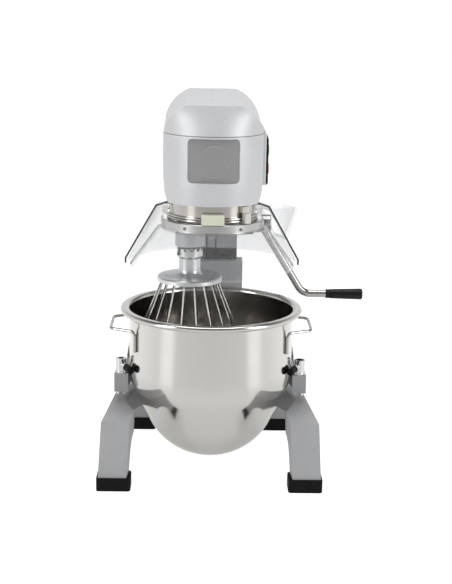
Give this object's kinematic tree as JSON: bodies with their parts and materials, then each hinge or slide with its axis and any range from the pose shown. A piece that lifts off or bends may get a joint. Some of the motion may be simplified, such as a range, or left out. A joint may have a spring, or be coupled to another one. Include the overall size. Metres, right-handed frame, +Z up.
{
  "type": "commercial stand mixer",
  "caption": "Bench planetary mixer: bowl on a lever-lifted yoke with side latches, clear turning guard with a chute, and a bayonet whisk driven by planet gearing.",
  "frame": {"origin": "on the floor plane of the rubber feet, straight under the axis of the bowl", "axes": "+Z up, -Y towards the front of the machine, +X towards the lift lever's side"},
  "size_m": [0.4555, 0.4548, 0.6057],
  "materials": {
    "grey_paint": "fine textured medium grey paint",
    "silver_paint": "satin silver metallic paint",
    "dark_grey_plate": "matt grey plate",
    "black_rubber": "matt",
    "black_plastic": "satin",
    "steel": "brushed",
    "gear_steel": "machined",
    "polished_steel": "polished stainless steel",
    "chrome": "bright",
    "cast_aluminium": "satin",
    "nylon": "cream nylon",
    "clear_plastic": "clear polycarbonate",
    "green_plastic": "satin",
    "red_plastic": "satin",
    "grey_plastic": "satin"
  },
  "bodies": {
    "frame": {"base_casting": "grey_paint", "rubber_feet": "black_rubber", "column": "grey_paint", "neck_casting": "grey_paint", "frame_bolts": "steel", "cable_gland": "black_plastic", "head_housing": "silver_paint", "front_hood": "silver_paint", "rear_hood": "silver_paint", "hood_frame": "steel", "cover_screws": "steel", "front_plate": "dark_grey_plate", "panel_box": "silver_paint", "panel_face": "black_plastic", "steel_collar": "polished_steel", "ring_gear": "gear_steel", "guard_sensor": "nylon", "rear_guard": "clear_plastic", "feed_chute": "clear_plastic", "frame_plate": "cast_aluminium", "spindle_housing": "cast_aluminium", "shaft_bearings": "gear_steel", "layshaft_bridge": "cast_aluminium", "drive_belt": "black_rubber", "motor_case": "cast_aluminium"},
    "yoke": {"yoke_casting": "grey_paint", "locating_pins": "steel", "keeper_plates": "gear_steel", "lift_rack": "gear_steel"},
    "lever": {"lever_rod": "steel", "lever_grip": "black_plastic", "lever_shaft": "gear_steel", "lift_pinion": "gear_steel"},
    "bowl": {"bowl_shell": "polished_steel", "bowl_lugs": "steel", "bowl_handles": "steel"},
    "right_latch": {"latch_right": "chrome", "latch_cap_right": "black_rubber"},
    "left_latch": {"latch_left": "chrome", "latch_cap_left": "black_rubber"},
    "guard": {"guard_ring": "cast_aluminium", "glide_blocks": "nylon", "guard_screws": "steel", "front_guard": "clear_plastic"},
    "planetary": {"planet_carrier": "silver_paint", "agitator_bearings": "gear_steel", "spindle": "gear_steel", "main_gear": "gear_steel"},
    "agitator": {"agitator_shaft": "steel", "planet_gear": "gear_steel"},
    "whisk": {"whisk_hub": "cast_aluminium", "whisk_wires": "steel"},
    "layshaft": {"pinion_shaft": "gear_steel", "layshaft_pulley": "cast_aluminium"},
    "motor": {"motor_rotor": "gear_steel", "motor_pulley": "cast_aluminium"},
    "start": {"start_button": "green_plastic"},
    "stop": {"stop_button": "red_plastic"},
    "speed_up": {"speed_up_button": "grey_plastic"},
    "speed_down": {"speed_down_button": "grey_plastic"}
  },
  "joints": [
    {"name": "yoke_lift", "type": "slide", "parent": "frame", "child": "yoke", "axis": [0, 0, 1], "range_m": [0, 0.058]},
    {"name": "lever_turn", "type": "hinge", "parent": "frame", "child": "lever", "pos_m": [0.06, 0.218, 0.373], "axis": [-1, 0, 0], "range_deg": [0, 110.8]},
    {"name": "bowl_lift", "type": "slide", "parent": "yoke", "child": "bowl", "axis": [0, 0, 1], "range_m": [0, 0.006]},
    {"name": "right_latch_turn", "type": "hinge", "parent": "yoke", "child": "right_latch", "pos_m": [0.147, -0.013, 0.17], "axis": [0, 0, 1], "range_deg": [0, 90]},
    {"name": "left_latch_turn", "type": "hinge", "parent": "yoke", "child": "left_latch", "pos_m": [-0.147, -0.013, 0.17], "axis": [0, 0, -1], "range_deg": [0, 90]},
    {"name": "guard_turn", "type": "hinge", "parent": "frame", "child": "guard", "pos_m": [0, 0, 0.414], "axis": [0, 0, -1], "range_deg": [0, 140]},
    {"name": "planetary_spin", "type": "hinge", "parent": "frame", "child": "planetary", "pos_m": [0, 0, 0.42], "axis": [0, 0, 1], "continuous": true},
    {"name": "agitator_spin", "type": "hinge", "parent": "planetary", "child": "agitator", "pos_m": [-0.036, 0, 0.4], "axis": [0, 0, 1], "continuous": true},
    {"name": "whisk_twist", "type": "hinge", "parent": "agitator", "child": "whisk", "pos_m": [-0.036, 0, 0.34], "axis": [0, 0, -1], "range_deg": [0, 35]},
    {"name": "layshaft_spin", "type": "hinge", "parent": "frame", "child": "layshaft", "pos_m": [0, 0.0675, 0.5], "axis": [0, 0, 1], "continuous": true},
    {"name": "motor_spin", "type": "hinge", "parent": "frame", "child": "motor", "pos_m": [0, 0.234, 0.5], "axis": [0, 0, 1], "continuous": true},
    {"name": "start_press", "type": "slide", "parent": "frame", "child": "start", "axis": [-1, 0, 0], "range_m": [0, 0.0015], "stiffness_N_per_m": 400},
    {"name": "stop_press", "type": "slide", "parent": "frame", "child": "stop", "axis": [-1, 0, 0], "range_m": [0, 0.0015], "stiffness_N_per_m": 400},
    {"name": "speed_up_press", "type": "slide", "parent": "frame", "child": "speed_up", "axis": [-1, 0, 0], "range_m": [0, 0.0015], "stiffness_N_per_m": 400},
    {"name": "speed_down_press", "type": "slide", "parent": "frame", "child": "speed_down", "axis": [-1, 0, 0], "range_m": [0, 0.0015], "stiffness_N_per_m": 400}
  ],
  "couplings": [
    {"joint": "lever_turn", "follows": "yoke_lift", "rad_per_m": 33.333},
    {"joint": "agitator_spin", "follows": "planetary_spin", "ratio": -3},
    {"joint": "layshaft_spin", "follows": "planetary_spin", "ratio": -4},
    {"joint": "motor_spin", "follows": "planetary_spin", "ratio": -9.0909}
  ]
}
